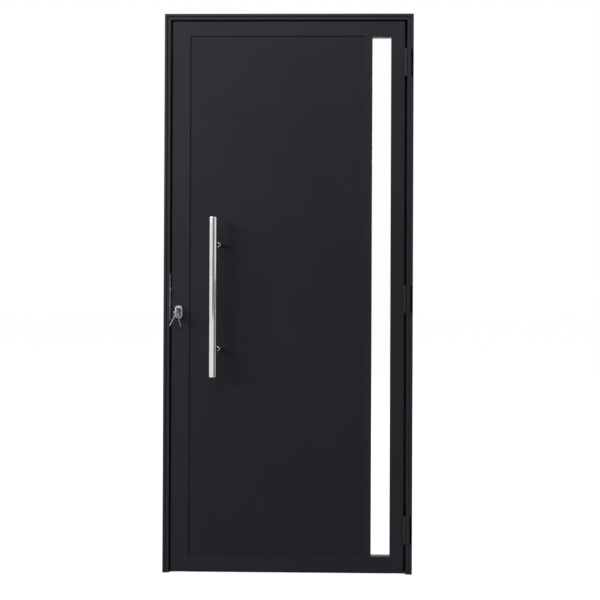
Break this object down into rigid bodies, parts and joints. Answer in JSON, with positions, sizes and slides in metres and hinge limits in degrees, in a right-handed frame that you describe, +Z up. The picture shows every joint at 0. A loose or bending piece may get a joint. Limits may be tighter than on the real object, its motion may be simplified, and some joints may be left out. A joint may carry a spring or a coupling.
{
  "type": "glass strip door with frame",
  "caption": "Black metal entrance door leaf with a tall narrow glass strip, bar pull handle, cylinder lock with keys and roller latch, hung on hinges in a three-sided frame.",
  "frame": {"origin": "on the floor, in the middle of the overall width and depth", "axes": "+X to the right as seen by the person who pulls the handle, +Y away from that person, +Z up"},
  "size_m": [0.96, 0.144, 2.15],
  "materials": {
    "frame_paint": "satin black powder coat",
    "leaf_paint": "satin black powder coat",
    "panel_paint": "satin black powder coat",
    "hinge_paint": "satin black powder coat",
    "mill_aluminium": "mill finish",
    "seal_rubber": "matt black",
    "brush_fibre": "black brush fibre",
    "panel_foam": "rigid foam",
    "clear_glass": "clear",
    "polished_steel": "polished stainless steel",
    "lock_steel": "satin stainless steel",
    "screw_steel": "zinc plated",
    "cylinder_nickel": "satin nickel plate",
    "key_nickel": "nickel plated",
    "spring_steel": "bright wire"
  },
  "bodies": {
    "frame": {"frame_head": "frame_paint", "lock_jamb": "frame_paint", "hinge_jamb": "frame_paint", "frame_corner_cleats": "mill_aluminium", "stop_seals": "seal_rubber", "strike_plate": "lock_steel", "strike_screws": "screw_steel", "hinge_pins": "hinge_paint", "hinge_frame_screws": "hinge_paint", "bottom_hinge_frame_flap": "hinge_paint", "middle_hinge_frame_flap": "hinge_paint", "top_hinge_frame_flap": "hinge_paint"},
    "leaf": {"lock_stile": "leaf_paint", "hinge_stile": "leaf_paint", "top_rail": "leaf_paint", "bottom_rail": "leaf_paint", "mullion": "leaf_paint", "rail_spigots": "mill_aluminium", "bottom_brush": "brush_fibre", "panel_front_sheet": "panel_paint", "panel_core": "panel_foam", "panel_back_sheet": "panel_paint", "glass_pane": "clear_glass", "panel_gaskets": "seal_rubber", "glass_gaskets": "seal_rubber", "panel_side_beads": "leaf_paint", "panel_end_beads": "leaf_paint", "glass_side_beads": "leaf_paint", "glass_end_beads": "leaf_paint", "hinge_washers": "hinge_paint", "hinge_leaf_screws": "hinge_paint", "bottom_hinge_leaf_flap": "hinge_paint", "middle_hinge_leaf_flap": "hinge_paint", "top_hinge_leaf_flap": "hinge_paint", "lock_forend": "lock_steel", "lock_case": "lock_steel", "forend_screws": "screw_steel", "cylinder_body": "cylinder_nickel", "rear_plug": "cylinder_nickel", "cylinder_screw": "screw_steel", "front_escutcheon": "lock_steel", "back_escutcheon": "lock_steel", "latch_spring": "spring_steel", "pull_tube": "polished_steel", "pull_end_caps": "polished_steel", "pull_posts": "polished_steel", "pull_bolts": "screw_steel"},
    "latch": {"latch_carriage": "lock_steel", "roller_pin": "screw_steel"},
    "roller": {"latch_roller": "lock_steel"},
    "deadbolt": {"deadbolt": "lock_steel"},
    "key": {"front_plug": "cylinder_nickel", "cylinder_cam": "lock_steel", "door_key": "key_nickel", "key_ring": "key_nickel", "left_spare_key": "key_nickel", "right_spare_key": "key_nickel"}
  },
  "joints": [
    {"name": "leaf_swing", "type": "hinge", "parent": "frame", "child": "leaf", "pos_m": [0.4505, -0.006, 1.054], "axis": [0, 0, 1], "range_deg": [0, 110]},
    {"name": "latch_push", "type": "slide", "parent": "leaf", "child": "latch", "axis": [1, 0, 0], "range_m": [0, 0.0045], "stiffness_N_per_m": 1500, "springref_m": -0.004, "deforming": ["latch_spring"]},
    {"name": "roller_spin", "type": "hinge", "parent": "latch", "child": "roller", "pos_m": [-0.4495, 0.019, 1.09], "axis": [0, 0, 1], "continuous": true},
    {"name": "key_turn", "type": "hinge", "parent": "leaf", "child": "key", "pos_m": [-0.4205, -0.009, 1.008], "axis": [0, -1, 0], "range_deg": [0, 360]},
    {"name": "deadbolt_throw", "type": "slide", "parent": "leaf", "child": "deadbolt", "axis": [-1, 0, 0], "range_m": [0, 0.014]}
  ],
  "couplings": [
    {"joint": "deadbolt_throw", "follows": "key_turn", "m_per_rad": 0.0022282}
  ]
}
